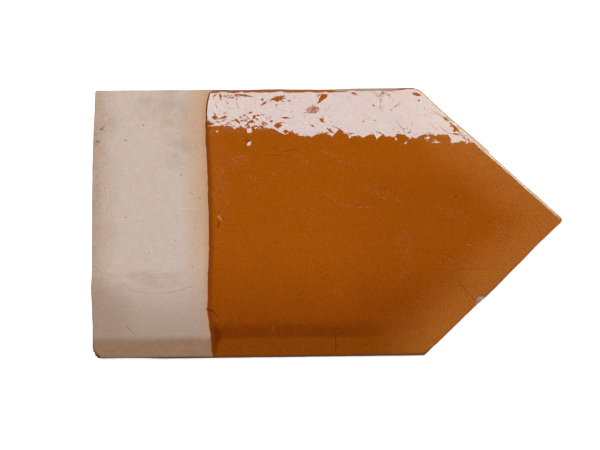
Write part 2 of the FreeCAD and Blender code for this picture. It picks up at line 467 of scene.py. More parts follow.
# the slanted edges: how far each swells out and falls back, and between which places that comes and goes
FAR_SWELL = 0.72
FAR_HOLLOW = 0.25
FAR_START = (164.0, 178.0)
FAR_RISE = (184.0, 202.0)
FAR_STEP = (206.4, 206.9)
FAR_RETURN = (232.0, 226.0)
FAR_END = (242.0, 236.0)
NEAR_SWELL = 0.4
NEAR_HOLLOW = 0.3
NEAR_RISE = (196.0, 204.0)
NEAR_FALL = (219.0, 210.0)
NEAR_RETURN = (222.0, 230.0)
NEAR_END = (243.5, 240.0)


def bare_run(along):
    """1 on the stretch of the far side where the glaze stops short of the edge, and 0 elsewhere."""
    begun = ease(along, BARE_RUN[0] - BARE_FADE, BARE_RUN[0] + BARE_FADE)
    return begun * ease(along, BARE_RUN[1] + BARE_FADE, BARE_RUN[1] - BARE_FADE)


def rolled(along, across):
    """How far the edge has rolled over on the far side, where it is glazed."""
    closeness = max(1.0 - (HALF_WIDTH - across) / ROLL_WIDTH, 0.0) * ease(along, *ROLL_END)
    return ROLL_DROP * closeness ** 2 * (1.0 + 0.9 * swell(along, 0.0, 5.0, 8.0)) * (1.0 - bare_run(along))


def far_wave(along, across):
    """How far a point near the far side is moved inwards."""
    return along_points(FAR_WAVE, along) * ease(across, 64.0, 68.0)


def stands_out(along, across):
    """How far a slanted edge stands out past the outline, or with a minus how far behind it."""
    if across > 0.0:
        swollen = FAR_SWELL * ease(along, *FAR_RISE) * (1.0 - ease(along, *FAR_STEP))
        out = swollen - FAR_HOLLOW * ease(along, *FAR_RETURN)
        return out * ease(along, *FAR_START) * ease(along, *FAR_END)
    swollen = NEAR_SWELL * ease(along, *NEAR_RISE) * ease(along, *NEAR_FALL)
    out = swollen - NEAR_HOLLOW * ease(along, *NEAR_RETURN)
    return out * ease(along, *NEAR_END)


print("far edge swells out by", max(round(stands_out(along, 1.0), 2) for along in range(170, 244)), "mm")

# %% [markdown]
# The clay plate goes under the glaze as well, a hair smaller all round, as the real clay does. Where the
# photograph shows one corner broken off, a tilted plane cuts it and the hole is closed with a face. More
# planes then slice the plate into a grid, closer together at the broken corner, at the crease and at the
# far edge's step, so that its shape can be worked finely there.

# %% Clay plate
CLAY_STEP = 1.5
CHIP_CUTS = tuple(0.5 * number for number in range(1, 10))
CREASE_CUTS = (CREASE - CREASE_SOFT, CREASE, CREASE + CREASE_SOFT)

clay = bmesh.new()
draw_outline(clay, CORNERS, CLAY_GAP)
thicken(clay, 0.0, CLAY_TOP)
rim_edges = round_rim(clay, CLAY_TOP, TOP_ARRIS, 4)
round_rim(clay, 0.0, UNDERSIDE_ARRIS, 2)

chip_place = place(2.0, -68.2, 2.4)
chip_out = Vector((-1.0, -1.1, 0.75)).normalized()
everything = clay.verts[:] + clay.edges[:] + clay.faces[:]
bmesh.ops.bisect_plane(clay, geom=everything, dist=1e-7, plane_co=chip_place, plane_no=chip_out,
                       clear_outer=True)
open_edges = [edge for edge in clay.edges if edge.is_boundary]
bmesh.ops.holes_fill(clay, edges=open_edges, sides=0)
side_cuts = [cut - HALF_WIDTH for cut in CHIP_CUTS]
slice_up(clay, CLAY_STEP, CHIP_CUTS + FAR_STEP, (*side_cuts, *CREASE_CUTS))
print("clay rim edges", rim_edges, "faces", len(clay.faces))

# %% [markdown]
# Each point of the clay is now moved a little: down by the fall and the slow swells, and along its side's
# inward direction by the waves of the cut edges. The points of the broken face are pushed in and out by a
# noise, like a fracture, and none of them goes below the floor.

# %% Shape of the clay
# towards the back corner the near side strays inwards too: past which place across, how far, and where
NEAR_SIDE = -66.0
NEAR_SIDE_WAVE = 0.5
NEAR_SIDE_RUN = (38.0, 22.0)
# how far the broken face lies behind the cutting plane, and how far its noise pushes it in and out
CHIP_DEPTH, CHIP_ROUGHNESS = 0.3, 0.9

for vert in clay.verts:
    along, across, height = tile_place(vert.co)
    on_chip = abs((vert.co - chip_place).dot(chip_out)) < 1e-6
    share = ease(height, 0.6, CLAY_TOP - TOP_ARRIS)
    inside, inward = from_edge(along, across)
    at_back = ease(along, 8.0, 0.0)
    bow = (BACK_BOW * (1.0 - (across / HALF_WIDTH) ** 2) - along_points(BACK_WAVE, across)) * at_back
    drop = share * (fall(across) + 1.5 * rolled(along, across) * ease(along, GLAZE_LINE, GLAZE_LINE + 2.0))
    drop += share * (0.012 + 0.05 * swell(along, across, 16.0, 1.0) + 0.02 * swell(along, across, 5.0, 2.0))
    nudge = 0.02 + 0.14 * swell(along, across, 9.0, height / 4.0) + 0.08 * swell(along, across, 2.6, height)
    if across < NEAR_SIDE:
        nudge += NEAR_SIDE_WAVE * ease(along, *NEAR_SIDE_RUN)
    nudge = (max(nudge, 0.0) - stands_out(along, across)) * ease(inside, 3.0, 0.6)
    nudge = nudge * (1.0 - bare_run(along) * ease(across, 60.0, 66.0)) + far_wave(along, across)
    if on_chip:
        roughness = CHIP_ROUGHNESS * swell(along * 2.0, across * 2.0, 1.6, height * 1.4)
        vert.co -= chip_out * MM * (CHIP_DEPTH + roughness)
        vert.co.z = max(vert.co.z, 0.0)
    vert.co += Vector((inward[0] * nudge - bow, inward[1] * nudge, -drop)) * MM

print("clay now reaches", round(max(vert.co.x for vert in clay.verts) / MM, 2), "mm towards the point")


# %% [markdown]
# The finished mesh becomes an object at the origin. It carries two measures of its own on every vertex:
# how far it lies past the glaze line and how far inside the edge, so that the finishes can follow the
# line and the rim exactly.

# %% From mesh to piece
def make_piece(name, bm):
    """Turns a bmesh into a piece of the tile, smooth shaded, which stands in for the solid."""
    past_line = bm.verts.layers.float.new("past_line")
    inside = bm.verts.layers.float.new("inside")
    for vert in bm.verts:
        along, across, _ = tile_place(vert.co)
        vert[past_line] = along - line_place(across)
        vert[inside] = from_edge(along, across)[0]
    for face in bm.faces:
        face.smooth = True
    data = bpy.data.meshes.new(name)
    bm.to_mesh(data)
    bm.free()
    piece = bpy.data.objects.new(name, data)
    bpy.context.scene.collection.objects.link(piece)
    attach(piece, "root")
    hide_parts(NODE)
    print(name, len(data.polygons), "faces", sum(len(p.vertices) - 2 for p in data.polygons), "triangles")
    return piece


clay_piece = make_piece("clay_body", clay)

# %% [markdown]
# The glaze is a thin coat of glass over the clay's face, lapping down over its edges and ending there in
# a wavy rim. It is modelled as a second plate round the first: its underside hides in the clay, its
# front edge follows the glaze line with a rounded bead, and its edges roll off softly, as melted glass
# does. Its open underside is closed only at the end, because nobody sees it and slices there are wasted.

# %% Glaze coat
GLAZE_STEP = 1.0
GLAZE_ARRIS = 0.6

glaze = bmesh.new()
glaze_corners = [
    (GLAZE_LINE, -HALF_WIDTH, 0.0),
    *CORNERS[1:4],
    (GLAZE_LINE, HALF_WIDTH, 0.0),
]
draw_outline(glaze, glaze_corners, 0.0)
thicken(glaze, GLAZE_RIM, GLAZE_TOP)
round_rim(glaze, GLAZE_TOP, GLAZE_ARRIS, 5)
hidden = [face for face in glaze.faces if all(abs(v.co.z / MM - GLAZE_RIM) < 0.01 for v in face.verts)]
bmesh.ops.delete(glaze, geom=hidden, context="FACES_ONLY")
BEAD_CUTS = (0.15, 0.3, 0.45, 0.7, 1.3, 1.7, 2.4)
slice_up(glaze, GLAZE_STEP, [GLAZE_LINE + cut for cut in BEAD_CUTS], (CREASE - 1.2, CREASE, CREASE + 1.2))
print("glaze faces", len(glaze.faces))

# %% [markdown]
# Then the coat is shaped. Along the straight far edge it rolls softly over and laps down the side. On the
# other edges it stops a little short of the clay's arris and leaves a thin bare rim, wider on the far
# side of the point, and where the clay was cut further in it follows the clay. The front edge gets its
# bead, and swells a few microns high bend what it mirrors.

# %% Shape of the glaze
# along, across, half length, depth: where the glaze stops further short of the edge
SHORT_RUNS = [(199.2, -42.0, 2.0, 2.3), (171.5, -69.0, 1.2, 0.4)]
# along, across, half length, half width, depth: dents and pimples in the coat
DENTS = [(80.3, 42.4, 1.4, 1.0, 0.03), (64.8, 2.3, 1.2, 0.8, 0.04), (81.1, 40.3, 1.2, 1.2, -0.03)]
# the bead's height, its distance behind the front edge and its half width
BEAD_HEIGHT, BEAD_BACK, BEAD_HALF = 0.04, 1.6, 1.3
# how wide a rim stays bare: on the near sides, on the far side's bare stretch and on the point's far side
NEAR_BARE, SIDE_BARE, POINT_BARE = 0.3, 0.9, 0.85


def bare_rim(along, across):
    """How wide a rim the glaze leaves bare."""
    if across < 0.0:
        return NEAR_BARE * ease(along, GLAZE_LINE, GLAZE_LINE + 3.0)
    return SIDE_BARE * bare_run(along) + POINT_BARE * ease(along, 170.0, 186.0)


for vert in glaze.verts:
    along, across, height = tile_place(vert.co)
    inside, inward = from_edge(along, across, skip_back=True)
    share = ease(height, GLAZE_RIM, GLAZE_TOP - GLAZE_ARRIS)
    drop = share * (fall(across) + rolled(along, across))
    drop += share * (0.01 + 0.006 * swell(along, across, 13.0, 3.0) + 0.02 * swell(along, across, 40.0, 4.0))
    bead = BEAD_HEIGHT * math.exp(-((along - GLAZE_LINE - BEAD_BACK) / BEAD_HALF) ** 2)
    for dent_along, dent_across, half_length, half_width, depth in DENTS:
        away = ((along - dent_along) / half_length) ** 2 + ((across - dent_across) / half_width) ** 2
        drop += share * depth * math.exp(-away)
    wavy = 1.0 + 0.7 * swell(along, across, 4.0) + 0.5 * swell(along, across, 1.4)
    draw_in = bare_rim(along, across) * wavy
    for run_along, run_across, half_length, depth in SHORT_RUNS:
        away = (Vector((along, across)) - Vector((run_along, run_across))).length / half_length
        draw_in += depth * math.exp(-away ** 2)
    if across < 0.0:
        draw_in += max(-stands_out(along, across), 0.0)
    draw_in = draw_in * ease(inside, 4.0, 0.3) + far_wave(along, across)
    lip = 0.0
    if height < GLAZE_RIM + 0.01:
        lip = 0.9 * swell(along, across, 7.0, 6.0) + 0.5 * swell(along, across, 2.3, 7.0)
    shift = (line_place(across) - GLAZE_LINE) * ease(along, GLAZE_LINE + 9.0, GLAZE_LINE)
    vert.co += Vector((inward[0] * draw_in + shift, inward[1] * draw_in, lip - drop + bead * share)) * MM

open_edges = [edge for edge in glaze.edges if edge.is_boundary]
bmesh.ops.holes_fill(glaze, edges=open_edges, sides=0)
bmesh.ops.recalc_face_normals(glaze, faces=glaze.faces)
print("open edges left:", sum(edge.is_boundary for edge in glaze.edges))
glaze_piece = make_piece("glaze_coat", glaze)

# %% [markdown]
# A finish starts with a few shared things: places on the tile in millimetres, and the marks. A mark is an
# ellipse or a pointed shard at a measured place, soft at its rim, and a little noise in the places makes
# its outline ragged as real ones are. A list of marks adds up into one mask.


# %% A finish that knows places on the tile
class Finish(Graph):
    """A material of the tile, with its Principled shader and its places in millimetres."""

    def __init__(self, name, **constants):
        self.material = bpy.data.materials.new(name)
        super().__init__(self.material)
        self.surface = self.tree.nodes["Principled BSDF"]
        for key, value in constants.items():
            self.surface.inputs[key.replace("_", " ")].default_value = value
        objects = self.node("ShaderNodeTexCoord", None, None, output=3)
        self.place = self.scaled(objects, 1.0 / MM)
        self.flat = self.vector("MULTIPLY_ADD", self.place, (1.0, 1.0, 0.0), (0.0, 0.0, 1.0))
        self.past_line = self.measure("past_line")
        self.inside = self.measure("inside")
        self.across = self.axis(self.place, "Y")
        self.along = self.axis(self.place, "X") - MARK_LINE
        self.height = self.axis(self.place, "Z")

    def measure(self, name):
        return self.node("ShaderNodeAttribute", {"attribute_name": name}, None, output=2)

    def grain(self, size, detail=2.0, roughness=0.5, output=0):
        """Noise around 0.5, with grains of the given size in millimetres."""
        inputs = {"Vector": self.place, "Scale": 1.0 / size, "Detail": detail, "Roughness": roughness}
        return self.node("ShaderNodeTexNoise", None, inputs, output)

    def ragged(self, amount, size):
        """The flat places, pushed about by noise."""
        push = self.vector("SUBTRACT", self.grain(size, 1.0, output=1), (0.5, 0.5, 0.5))
        return self.vector("MULTIPLY_ADD", push, (2.0 * amount, 2.0 * amount, 0.0), self.flat)

    def dots(self, spacing, radius, share):
        """Small round dots, about the spacing apart, in only a share of their places."""
        inputs = {"Vector": self.place, "Scale": 1.0 / spacing, "Randomness": 1.0}
        cells = self.tree.nodes.new("ShaderNodeTexVoronoi")
        for key, value in inputs.items():
            self.feed(cells.inputs[key], value)
        near = Amount(self, cells.outputs[0]).between(radius / spacing * 1.3, radius / spacing * 0.7)
        kept = self.axis(Amount(self, cells.outputs[1]), "X").math("LESS_THAN", share)
        return near * kept

    def turned(self, angle):
        """The flat places, turned about the upright axis."""
        inputs = {0: self.flat, "Rotation": (0.0, 0.0, math.radians(angle))}
        return self.node("ShaderNodeMapping", None, inputs)

    def mark(self, at, along, across, length, width, turn=0.0, soft=0.3, pointed=False):
        """1 inside an ellipse or a pointed shard on the tile and 0 outside it, with a soft rim."""
        angle = math.radians(turn)
        centre = Vector((along + MARK_LINE, across))
        distance = 0.0
        for heading, reach in ((angle, length / 2.0), (angle + math.pi / 2.0, width / 2.0)):
            aim = Vector((math.cos(heading), math.sin(heading))) / reach
            run = self.vector("DOT_PRODUCT", at, (aim.x, aim.y, -aim.dot(centre)), output=1)
            distance = run.math("ABSOLUTE") + distance if pointed else run.math("MULTIPLY_ADD", run, distance)
        if pointed:
            return distance.between(1.25 + soft, 1.25 - soft)
        return distance.between((1.0 + soft) ** 2, (1.0 - soft) ** 2)

    def marks(self, at, places, soft=0.3, pointed=False):
        """One mask from a list of marks, each along, across, length, width and turn."""
        total = None
        for item in places:
            one = self.mark(at, *item, soft, pointed)
            total = one if total is None else total.math("MAXIMUM", one)
        return total

    def course(self, value, start, end, points, low, high):
        """A height that follows a row of points while the value goes from start to end."""
        shares = [((at - start) / (end - start), (up - low) / (high - low)) for at, up in points]
        share = (value - start) * (1.0 / (end - start))
        made = self.node("ShaderNodeFloatCurve", {"points": shares}, {"Value": share})
        return made * (high - low) + low

    def thread(self, points, half_width=0.23, wander=1.2):
        """A thin line through a row of points, along and across."""
        first, last = points[0][0], points[-1][0]
        drawn = self.course(self.along, first, last, points, -HALF_WIDTH, HALF_WIDTH)
        strayed = self.across - drawn + (self.grain(2.6, 2.0) - 0.5) * wander
        off_line = strayed.math("ABSOLUTE").between(half_width * 1.5, half_width * 0.5)
        ends = self.along.between(first, first + 0.5) * self.along.between(last, last - 0.5)
        return off_line * ends

    def show_on(self, piece):
        piece.data.materials.clear()
        piece.data.materials.append(self.material)


# %% [markdown]
# Bare fired clay is matte and never one colour. It is paler in the middle of the strip, browner towards
# the back edge, blushed orange where the glaze has bled into it, and brown past the crease, where a thin
# wash of glaze ran over it. Towards the near side it is darkened with painted shade, where the light falls
# off. Fine grains and many small dark specks break it up. Single marks that the real tile shows, such as
# clouds, scratches and one long hairline, are placed by measure.

# %% Marks on the clay
# Each mark: along, across, length, width, turn
CLAY_CLOUDS = [
    (3.2, 55.7, 5.2, 47.2, 0), (2.6, 9.3, 3.4, 47.2, 0), (7.4, 52.0, 8.4, 11.5, 0),
    (42.3, 57.6, 13.6, 25.0, 5), (44.4, 38.4, 11.5, 15.7, 0), (28.8, 60.2, 11.5, 10.5, 0),
    (4.0, -33.6, 5.2, 13.6, 0), (30.1, -27.2, 31.4, 3.1, 0), (35.2, -31.4, 15.7, 4.2, 0),
]
CORNER_PATCH = (4.0, -49.0, 26.0, 26.0, 0)
NICK_PATCH = (199.6, -42.0, 5.4, 5.0, 0)
CHIP_PATCH = (1.9, -68.4, 7.4, 3.2, -46)
CLAY_SPECKS = [
    (26.4, 51.1, 0.8, 0.8, 0), (17.1, 43.2, 0.8, 0.8, 0), (46.1, 24.9, 0.9, 0.7, 60),
    (17.3, 2.8, 0.6, 0.6, 0), (32.2, 59.0, 0.6, 0.5, 0), (42.7, 56.3, 0.6, 0.6, 0),
    (50.9, 15.1, 0.6, 0.6, 0), (55.7, 12.5, 0.6, 0.8, 0), (29.8, -15.9, 0.6, 0.5, 0),
    (28.0, -19.5, 0.5, 0.5, 0), (43.2, -9.5, 0.6, 0.5, 0), (53.5, -3.2, 0.5, 0.5, 0),
    (51.9, -23.1, 0.5, 0.5, 0), (59.6, -26.5, 0.6, 0.6, 0), (59.1, 41.3, 0.8, 0.8, 0),
    (42.2, -61.6, 0.6, 0.6, 0), (4.3, 49.4, 2.1, 0.6, 57), (5.6, 50.5, 1.5, 0.5, 20),
    (5.2, 49.2, 1.4, 0.5, -18), (2.6, 42.7, 2.2, 0.8, -8), (18.8, -54.1, 1.8, 0.3, -31),
    (21.1, -56.4, 5.8, 0.2, -45),
]
CLAY_SCUFFS = [
    (49.1, 7.1, 11.4, 0.7, -1), (47.0, 28.8, 2.3, 0.6, -27), (8.1, 14.5, 5.2, 0.5, -87),
    (6.3, 8.3, 4.2, 0.5, -86), (8.7, 17.5, 1.1, 0.8, -15), (7.4, 55.4, 3.5, 0.8, 27),
    (34.2, -26.1, 9.2, 0.4, -1),
]

# along and across of the long hairline, and of its short branch
LONG_HAIRLINE = [
    (1.1, -24.8), (6.5, -25.8), (11.6, -28.1), (15.8, -31.5), (19.9, -34.6), (25.0, -36.3), (30.1, -37.0),
    (35.2, -36.9), (40.4, -36.3), (47.5, -34.7), (55.2, -32.2),
]
HAIRLINE_BRANCH = [
    (19.1, -34.0), (21.0, -31.6), (24.0, -30.2), (30.1, -28.9), (37.3, -28.6), (44.5, -28.9),
]
CRACK = [
    (58.7, -44.5), (59.5, -45.3), (60.9, -45.8), (62.2, -46.1), (63.2, -47.0), (64.4, -48.3), (65.4, -49.3),
]

# %% Bare clay
cf = Finish("bare_clay", Roughness=0.85, Specular_IOR_Level=0.25)
PINK_CLAY = srgb(197, 175, 160)
PALE_CLAY = srgb(207, 190, 178)
EDGE_CLAY = srgb(184, 152, 130)
BACK_RIM = srgb(160, 135, 117)
CLOUD = srgb(176, 150, 130)
BLUSH = srgb(202, 166, 134)
ORANGE_CLAY = srgb(196, 146, 104)
PAINTED_SHADE_CLAY = srgb(171, 150, 136)
GREY_CORNER = srgb(156, 132, 116)
WASH = srgb(147, 112, 86)

wander = cf.grain(14.0, 3.0) - 0.5
fine = cf.grain(0.5, 3.0, 0.7)
mottle = cf.grain(3.2, 3.0, 0.6)
ragged = cf.ragged(1.6, 3.0)
base = cf.blend((cf.along + wander * 12.0).between(4.0, 15.0), PINK_CLAY, PALE_CLAY)
blush = (cf.past_line + wander * 8.0).between(-16.0, -2.0) * cf.across.between(-30.0, 10.0, 0.6, 1.0)
base = cf.blend(blush, base, BLUSH)
# painted shade: the clay is darkened towards the near side, where the light falls off
painted_shade_low_side = (cf.across + wander * 6.0).between(-20.0, -60.0)
base = cf.blend(painted_shade_low_side, base, PAINTED_SHADE_CLAY)
clouds = cf.marks(ragged, CLAY_CLOUDS, 0.7) * cf.grain(7.0, 4.0, 0.55).between(0.25, 0.65)
base = cf.blend(clouds * 0.5, base, CLOUD)
margin = (cf.along + (mottle - 0.5) * 8.0 + wander * 5.0).between(6.5, 1.0)
base = cf.blend(margin * 0.45, base, EDGE_CLAY)
base = cf.blend(margin * mottle.between(0.52, 0.66) * 0.55, base, BACK_RIM)
base = cf.blend((cf.past_line + (mottle - 0.5) * 2.4).between(-3.2, -0.6) * 0.65, base, ORANGE_CLAY)
corner = cf.mark(ragged, *CORNER_PATCH, soft=0.8)
base = cf.blend(corner * 0.6, base, GREY_CORNER)
wash = (cf.across + (cf.grain(2.0, 3.0) - 0.5) * 2.0).between(CREASE + 1.8, CREASE - 2.2)
base = cf.blend(wash, base, WASH)
base = cf.blend((mottle - 0.5) * 0.5 + 0.15, base, EDGE_CLAY)
print("clay nodes so far:", len(cf.tree.nodes))

# %% [markdown]
# The edges of the plate get colours of their own. Round the bare strip the arris is worn brown, and along
# the near side it is darkened with painted shade. Under the glaze only a thin rim and the sides show: dark
# with painted shade along the near side and the point's near side, pale on the point's far side, where the
# bare clay carries a painted highlight, and grey where the nick is broken out. The height tells the upper
# part of a side from the rest.

# %% Rims and sides of the clay
CORNER_RIM = srgb(118, 96, 78)
PAINTED_SHADE_RIM = srgb(86, 62, 46)
POINT_NEAR_SIDE_SHADE = srgb(136, 92, 56)
PALE_RIM_AND_HIGHLIGHT = srgb(216, 190, 166)
FAR_EDGE = srgb(128, 103, 86)
SIDE_CLAY = srgb(166, 130, 104)
NICK_GREY = srgb(140, 120, 104)
NICK_PALE = srgb(178, 154, 130)

rim = cf.inside.between(1.1, 0.2)
base = cf.blend(rim * cf.across.between(-32.0, -48.0, 0.2, 0.6), base, BACK_RIM)
base = cf.blend(rim * cf.across.between(-38.0, -50.0) * 0.7, base, CORNER_RIM)
nick = cf.mark(ragged, *NICK_PATCH, soft=0.4)
glazed_part = cf.past_line.between(-0.5, 2.0)
upper = cf.height.between(2.6, 3.8)
# painted shade: the near arris is darkened, as it faces away from the light
near_edge_painted_shade = cf.inside.between(1.5, 0.4) * cf.across.between(-50.0, -66.0) * upper
base = cf.blend(near_edge_painted_shade, base, PAINTED_SHADE_RIM)
# sides under the glaze: painted shade along the near side and the point's near side, and a pale rim of bare
# clay with a painted highlight on the point's far side
rim_colour = cf.blend(cf.across.between(-68.0, -64.0), PAINTED_SHADE_RIM, POINT_NEAR_SIDE_SHADE)
rim_colour = cf.blend(cf.across.between(-4.0, 4.0), rim_colour, PALE_RIM_AND_HIGHLIGHT)
far_edge = cf.across.between(62.0, 67.0) * cf.height.between(4.5, 4.1, 0.6, 1.0)
rim_colour = cf.blend(far_edge, rim_colour, FAR_EDGE)
rim_colour = cf.blend(upper, SIDE_CLAY, rim_colour)
rim_colour = cf.blend(nick, rim_colour, cf.blend(mottle.between(0.4, 0.6), NICK_GREY, NICK_PALE))
base = cf.blend(glazed_part, base, rim_colour)

# %% [markdown]
# Now the marks go on: the hairline and its branch, faint and broken, the dark specks that were measured
# and a pepper of others, thickest at the back, then a few pale scuffs, the crack at the glaze line and the
# fracture. A Bump node adds a fine grain, in which the specks and the crack lie a little deeper.

# %% Marks and grain of the clay
SPECK = srgb(112, 84, 62)
SCUFF = srgb(222, 206, 194)
CRACK_DARK = srgb(72, 40, 12)
FRACTURE = srgb(92, 68, 52)

hairline = cf.thread(LONG_HAIRLINE).math("MAXIMUM", cf.thread(HAIRLINE_BRANCH) * 0.6)
hairline = hairline * cf.grain(3.0, 2.0).between(0.3, 0.65, 0.1, 0.38)
pepper = cf.dots(1.7, 0.26, 0.5) * cf.grain(5.0, 1.0).between(0.3, 0.55)
pepper = pepper.math("MAXIMUM", cf.dots(0.9, 0.2, 0.5) * cf.along.between(22.0, 2.0, 0.25, 0.9))
pepper = pepper * cf.along.between(14.0, 3.0, 0.5, 0.85)
specks = cf.marks(cf.ragged(0.25, 0.9), CLAY_SPECKS)
dark = specks.math("MAXIMUM", pepper).math("MAXIMUM", hairline)
base = cf.blend(dark * 0.85, base, SPECK)
base = cf.blend(cf.marks(cf.ragged(0.5, 1.5), CLAY_SCUFFS, 0.5) * 0.35, base, SCUFF)
crack = cf.thread(CRACK, 0.36, 0.2)
base = cf.blend(crack, base, CRACK_DARK)

chip_patch = cf.mark(cf.ragged(0.6, 1.4), *CHIP_PATCH, soft=0.12)
base = cf.blend(chip_patch * mottle.between(0.38, 0.55, 0.35, 1.0), base, FRACTURE)
base = cf.scaled(base, (fine - 0.5) * 0.2 + (cf.grain(1.1, 2.0, 0.6) - 0.5) * 0.28 + 1.0)
cf.feed(cf.surface.inputs["Base Color"], base)

relief = fine * 0.05 + mottle * 0.06 + cf.grain(0.25, 2.0, 0.6) * 0.03 - dark * 0.12 - crack * 0.3
bump = cf.node("ShaderNodeBump", None, {"Strength": 0.6, "Distance": MM, "Height": relief})
cf.feed(cf.surface.inputs["Normal"], bump)
cf.show_on(clay_piece)
print("clay nodes:", len(cf.tree.nodes))

# %% [markdown]
# The glaze is coloured glass: where it lies thin it is orange, and where it pools it is almost brown. The
# colour goes on in layers: amber, deeper towards the near side, partly as painted shade where the light
# falls off, a dark band where it pooled against the crease, darkened further with painted shade, and paler
# towards the point's two edges, where it is thinner and a sheen is painted. Over that come a fine grain and
# a faint slanting weave left by the brush.

# %% Marks in the glaze
# Each mark: along, across, length, width, turn
HAZE = [
    (75.6, 32.2, 12.6, 6.3, 15), (135.0, 27.9, 6.3, 1.6, 0), (144.6, 15.7, 10.5, 5.3, -25),
    (150.3, 13.0, 7.3, 3.1, -30), (188.0, 2.7, 11.5, 5.8, -15), (195.8, -0.3, 5.2, 1.8, -15),
    (212.2, -6.4, 4.2, 5.8, 0), (195.3, -14.1, 4.7, 1.6, 0), (125.6, -36.8, 6.8, 3.1, 0),
    (178.8, -47.9, 11.5, 4.7, 10), (130.3, 30.3, 3.1, 1.8, -20), (161.6, -14.2, 8.4, 17.8, 10),
    (162.8, -28.7, 6.3, 10.5, 0), (165.2, -58.5, 5.2, 1.3, 0), (93.0, -57.6, 6.3, 3.1, 0),
    (67.2, 16.5, 7.3, 31.4, 0),
]
PALE_SCRATCHES = [
    (109.0, 32.7, 11.9, 0.4, -30), (110.2, 30.5, 5.4, 0.4, -30), (120.0, 36.4, 7.9, 0.4, -22),
    (127.5, 32.5, 9.1, 0.5, -32), (123.5, 12.0, 7.4, 0.4, -40), (132.3, 7.7, 7.9, 0.5, -12),
    (140.5, 6.7, 8.8, 0.5, -2), (149.5, 12.8, 7.4, 0.5, -40), (137.0, 27.9, 4.5, 0.5, -21),
    (179.0, 6.7, 6.3, 0.6, -25), (158.6, 10.3, 7.5, 0.4, -35), (195.3, -13.6, 4.3, 0.5, -15),
    (72.5, 32.5, 5.6, 0.5, 41), (77.2, 34.5, 5.8, 0.5, 26), (83.1, 23.0, 3.9, 0.5, -20),
    (93.8, 24.9, 3.5, 0.5, -27), (184.5, -21.0, 3.6, 0.5, -46), (188.6, -21.5, 3.0, 0.5, 30),
    (186.9, -26.2, 7.9, 0.4, -12), (211.7, -6.7, 4.2, 0.5, -62), (213.6, -5.2, 3.0, 0.5, -61),
    (93.1, -56.9, 5.6, 0.4, -88), (165.5, -58.3, 3.6, 0.6, -1), (176.7, -58.8, 3.6, 0.5, -5),
    (119.0, -64.6, 6.2, 0.3, -10),
]
DARK_SCRATCHES = [
    (125.4, -54.5, 4.1, 0.4, 84), (189.1, -32.6, 10.9, 0.5, -50), (194.3, -39.4, 11.2, 0.6, -48),
    (190.9, -32.4, 10.2, 0.4, -42), (189.0, -26.0, 45.0, 0.3, -1), (59.9, 43.0, 2.4, 0.7, 82),
    (133.8, -7.2, 2.9, 0.5, -46), (131.9, -7.4, 3.7, 0.5, -79), (94.9, 38.1, 3.5, 0.6, -27),
    (102.8, 37.2, 10.6, 0.6, 11), (95.4, 34.6, 10.4, 0.5, -1), (80.3, 42.4, 2.8, 2.2, 0),
    (79.7, 40.0, 1.5, 0.6, 69),
]
DEEP_SCRATCH = (125.0, -62.8, 11.2, 0.6, 88)
GOUGE = [(65.4, -1.6, 3.9, 1.0, 81), (68.2, 1.6, 1.6, 0.6, -49)]
# a painted highlight on the gouge's lip
GOUGE_PAINTED_GLINT = [(65.6, 2.5, 1.5, 1.3, 0), (66.6, 1.3, 1.5, 0.8, -45)]
POOLS = [(62.8, -58.6, 6.5, 8.5, 0), (62.8, -65.5, 3.0, 7.0, 0)]
BLACK_SPECKS = [
    (146.8, 60.6, 0.8, 0.7, 0), (141.4, 52.1, 0.5, 0.5, 0), (147.4, 52.5, 0.6, 0.5, 0),
    (170.8, 63.0, 0.8, 0.6, 0), (173.7, 58.8, 0.5, 0.5, 0), (188.8, 12.0, 0.7, 0.7, 0),
]

# %% Colour of the glaze
gf = Finish("amber_glaze", Roughness=0.03, IOR=1.5, Specular_Tint=(0.67, 0.93, 1.0, 1.0))
THIN_AND_SHEEN = srgb(180, 106, 40)
AMBER = srgb(165, 82, 6)
DEEP_AMBER_AND_SHADE = srgb(140, 65, 3)
BELOW_CREASE = srgb(140, 68, 5)
POOLED_AND_SHADED = srgb(123, 53, 3)
CORNER_POOL = srgb(103, 42, 3)

drift = gf.grain(22.0, 3.0) - 0.5
streaky = gf.grain(4.0, 3.0, 0.6) - 0.5
fleck = gf.grain(1.3, 2.0, 0.6) - 0.5
grit = gf.grain(0.6, 2.0, 0.7) - 0.5
# deeper amber towards the near side, part of it painted shade where the light falls off
deep_and_painted_shade = (gf.across + drift * 12.0).between(-10.0, -66.0)
deep_and_painted_shade = deep_and_painted_shade + gf.along.between(118.0, 160.0) * gf.across.between(34.0, 14.0) * 0.30
coat = gf.blend(deep_and_painted_shade, AMBER, DEEP_AMBER_AND_SHADE)
# a dark band against the crease: glaze pooled there, darkened further with painted shade
pooled_band_and_shade = (gf.across + streaky * 3.0).between(-50.0, -56.5) * gf.along.between(176.0, 122.0)
coat = gf.blend(pooled_band_and_shade * 0.9, coat, POOLED_AND_SHADED)
below = (gf.across + streaky * 1.5).between(CREASE + 0.6, CREASE - 1.6) * gf.along.between(190.0, 130.0)
coat = gf.blend(below * 0.9, coat, BELOW_CREASE)
# paler towards the point's edges: thinner glass there, and a painted sheen
to_point = gf.along.between(140.0, 178.0)
to_edge = (gf.inside + drift * 12.0).between(30.0, 1.0)
coat = gf.blend(to_point * to_edge * 0.68, coat, THIN_AND_SHEEN)
behind_bead = (gf.past_line + streaky * 3.0).between(12.0, 4.0) * gf.across.between(-20.0, 40.0)
coat = gf.blend(behind_bead * 0.12, coat, THIN_AND_SHEEN)
coat = gf.blend(gf.marks(gf.ragged(1.2, 4.0), POOLS, 0.6), coat, CORNER_POOL)

